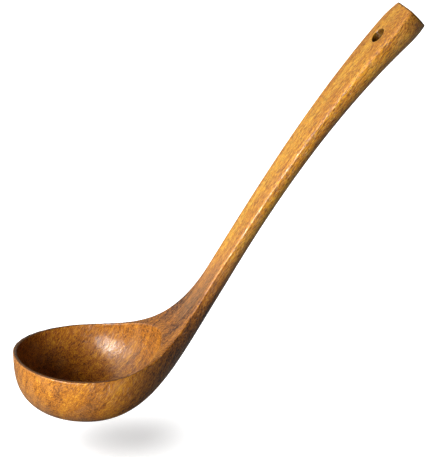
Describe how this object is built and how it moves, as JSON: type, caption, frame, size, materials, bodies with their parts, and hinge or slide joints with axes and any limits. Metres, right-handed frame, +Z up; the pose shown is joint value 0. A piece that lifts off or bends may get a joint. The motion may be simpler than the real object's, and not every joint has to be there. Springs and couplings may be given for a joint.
{
  "type": "wooden ladle",
  "caption": "One-piece carved wooden ladle: deep round bowl, blended neck and long flared handle with a hanging hole, clear gloss finish.",
  "frame": {"origin": "centre of the hanging hole, half way through the handle", "axes": "+X from the bowl towards the handle's end, +Z up with the bowl's rim level, Y across; the ladle is symmetric about the XZ plane"},
  "size_m": [0.2429, 0.0826, 0.2358],
  "materials": {
    "lacquered_wood": "clear gloss lacquer"
  },
  "bodies": {
    "root": {"ladle": "lacquered_wood"}
  },
  "joints": []
}
